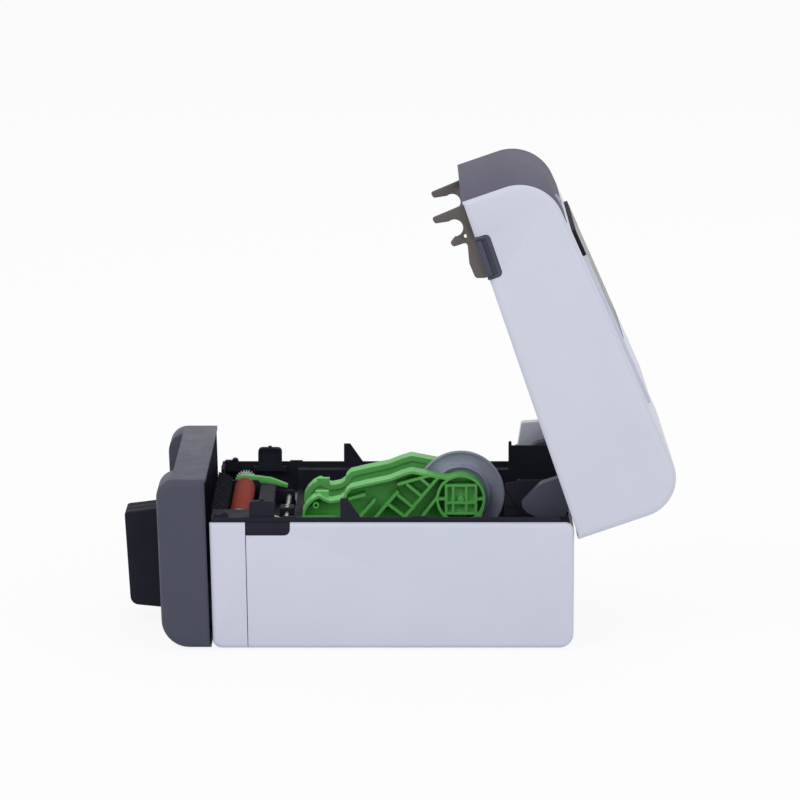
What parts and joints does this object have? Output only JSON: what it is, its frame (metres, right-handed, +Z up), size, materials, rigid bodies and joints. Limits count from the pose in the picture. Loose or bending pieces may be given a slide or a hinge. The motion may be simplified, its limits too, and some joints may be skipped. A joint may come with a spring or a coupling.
{
  "type": "desktop label printer",
  "caption": "Desktop label printer with a hinged lid held open, a tray with ribbed roll-holder arms, a rubber platen with release levers, and steel head forks under the lid.",
  "frame": {"origin": "on the plane of the rubber feet's undersides, below the middle of the base", "axes": "+X to the right as seen from the front, which is the picture's near side, -Y to its front panel, +Z up; drawn with the lid open"},
  "size_m": [0.2068, 0.3764, 0.3169],
  "materials": {
    "white_shell": "fine satin grain",
    "dark_panel": "fine satin grain, bluish dark grey",
    "black_plastic": "matt moulded",
    "green_plastic": "semi-gloss moulded",
    "grey_plastic": "satin moulded, mid grey",
    "gear_plastic": "smooth pale grey",
    "steel": "turned or drawn",
    "sheet_steel": "rolled sheet, warm grey",
    "platen_rubber": "ground matt, brick red",
    "feet_rubber": "matt",
    "smoked_window": "smoked, see-through",
    "circuit_board": "lacquered board"
  },
  "bodies": {
    "case": {"lower_case": "white_shell", "side_cover_right": "white_shell", "side_cover_left": "white_shell", "front_panel": "dark_panel", "module_body": "black_plastic", "module_shell_right": "black_plastic", "module_shell_left": "black_plastic", "inner_tray": "black_plastic", "platen_frame": "black_plastic", "output_comb": "black_plastic", "drive_plate": "steel", "motor": "black_plastic", "idler_post": "steel", "sensor_rail": "steel", "latch_catch_right": "dark_panel", "latch_catch_left": "dark_panel", "guide_rods": "steel", "rear_housing": "black_plastic", "rear_cap": "white_shell", "hinge_pins": "steel", "main_board": "circuit_board", "usb_socket": "steel", "lan_socket": "steel", "power_inlet": "black_plastic", "switch_housing": "black_plastic", "rubber_feet": "feet_rubber", "case_screws": "steel"},
    "platen": {"platen_shaft": "steel", "platen_roller": "platen_rubber", "platen_gear": "gear_plastic"},
    "lever_right": {"platen_lever_right": "green_plastic"},
    "lever_left": {"platen_lever_left": "green_plastic"},
    "motor_rotor": {"motor_shaft": "steel", "motor_pinion": "gear_plastic"},
    "idler": {"idler_gear": "gear_plastic"},
    "sensor": {"media_sensor": "black_plastic"},
    "arm_right": {"roll_arm_right": "green_plastic"},
    "arm_left": {"roll_arm_left": "green_plastic"},
    "centring": {"centring_pinion": "black_plastic"},
    "disc": {"spool_disc": "grey_plastic"},
    "hub": {"spool_hub": "grey_plastic"},
    "rocker": {"power_rocker": "black_plastic"},
    "lid": {"lid_shell": "white_shell", "lid_band": "dark_panel", "window_frame": "black_plastic", "lid_window": "smoked_window", "ribbon_cradle": "black_plastic", "hinge_arm_right": "dark_panel", "hinge_arm_left": "dark_panel", "latch_plates": "dark_panel"},
    "button_right": {"latch_button_right": "dark_panel"},
    "button_left": {"latch_button_left": "dark_panel"},
    "head": {"head_carrier": "black_plastic", "head_forks": "sheet_steel", "print_head": "steel", "head_springs": "steel"},
    "supply": {"supply_spindle": "grey_plastic"},
    "rewind": {"rewind_spindle": "grey_plastic", "rewind_gear": "gear_plastic"},
    "feed": {"feed_button": "grey_plastic"}
  },
  "joints": [
    {"name": "lid_hinge", "type": "hinge", "parent": "case", "child": "lid", "pos_m": [0, 0.1273, 0.0789], "axis": [1, 0, 0], "range_deg": [0, 70.9]},
    {"name": "head_float", "type": "slide", "parent": "lid", "child": "head", "axis": [0, 0.9449, 0.3272], "range_m": [0, 0.0015], "stiffness_N_per_m": 2500, "springref_m": -0.002},
    {"name": "platen_spin", "type": "hinge", "parent": "case", "child": "platen", "pos_m": [0, -0.0882, 0.0805], "axis": [1, 0, 0], "continuous": true},
    {"name": "idler_spin", "type": "hinge", "parent": "case", "child": "idler", "pos_m": [-0.078, -0.08085, 0.06668], "axis": [1, 0, 0], "continuous": true},
    {"name": "motor_spin", "type": "hinge", "parent": "case", "child": "motor_rotor", "pos_m": [-0.074, -0.08227, 0.05049], "axis": [1, 0, 0], "continuous": true},
    {"name": "lever_right_turn", "type": "hinge", "parent": "case", "child": "lever_right", "pos_m": [0.06, -0.0882, 0.0805], "axis": [1, 0, 0], "range_deg": [0, 85]},
    {"name": "lever_left_turn", "type": "hinge", "parent": "case", "child": "lever_left", "pos_m": [-0.06, -0.0882, 0.0805], "axis": [1, 0, 0], "range_deg": [0, 85]},
    {"name": "sensor_slide", "type": "slide", "parent": "case", "child": "sensor", "axis": [1, 0, 0], "range_m": [-0.03, 0.03]},
    {"name": "arm_right_slide", "type": "slide", "parent": "case", "child": "arm_right", "axis": [1, 0, 0], "range_m": [0, 0.042], "stiffness_N_per_m": 40, "springref_m": -0.02},
    {"name": "arm_left_slide", "type": "slide", "parent": "case", "child": "arm_left", "axis": [1, 0, 0], "range_m": [-0.0425, 0.0005]},
    {"name": "centring_turn", "type": "hinge", "parent": "case", "child": "centring", "pos_m": [0, 0.043, 0.03], "axis": [0, 0, 1], "range_deg": [-245, 4]},
    {"name": "disc_spin", "type": "hinge", "parent": "arm_right", "child": "disc", "pos_m": [0.02, 0.0634, 0.0906], "axis": [1, 0, 0], "continuous": true},
    {"name": "hub_spin", "type": "hinge", "parent": "arm_left", "child": "hub", "pos_m": [-0.02, 0.0634, 0.0906], "axis": [1, 0, 0], "continuous": true},
    {"name": "rocker_turn", "type": "hinge", "parent": "case", "child": "rocker", "pos_m": [0.063, 0.1346, 0.017], "axis": [0, 0, 1], "range_deg": [0, 14]},
    {"name": "button_right_slide", "type": "slide", "parent": "lid", "child": "button_right", "axis": [0, 0.9449, 0.3272], "range_m": [0, 0.003], "stiffness_N_per_m": 300, "springref_m": -0.002},
    {"name": "button_left_slide", "type": "slide", "parent": "lid", "child": "button_left", "axis": [0, 0.9449, 0.3272], "range_m": [0, 0.003], "stiffness_N_per_m": 300, "springref_m": -0.002},
    {"name": "feed_press", "type": "slide", "parent": "lid", "child": "feed", "axis": [0, -0.9139, -0.4059], "range_m": [0, 0.001], "stiffness_N_per_m": 400, "springref_m": -0.0015},
    {"name": "supply_spin", "type": "hinge", "parent": "lid", "child": "supply", "pos_m": [0, 0.12673, 0.22908], "axis": [1, 0, 0], "continuous": true},
    {"name": "rewind_spin", "type": "hinge", "parent": "lid", "child": "rewind", "pos_m": [0, 0.10971, 0.27822], "axis": [1, 0, 0], "continuous": true}
  ],
  "couplings": [
    {"joint": "idler_spin", "follows": "platen_spin", "ratio": -0.85714},
    {"joint": "motor_spin", "follows": "platen_spin", "ratio": 2.0357},
    {"joint": "arm_left_slide", "follows": "arm_right_slide", "ratio": -1},
    {"joint": "centring_turn", "follows": "arm_right_slide", "rad_per_m": -100}
  ]
}
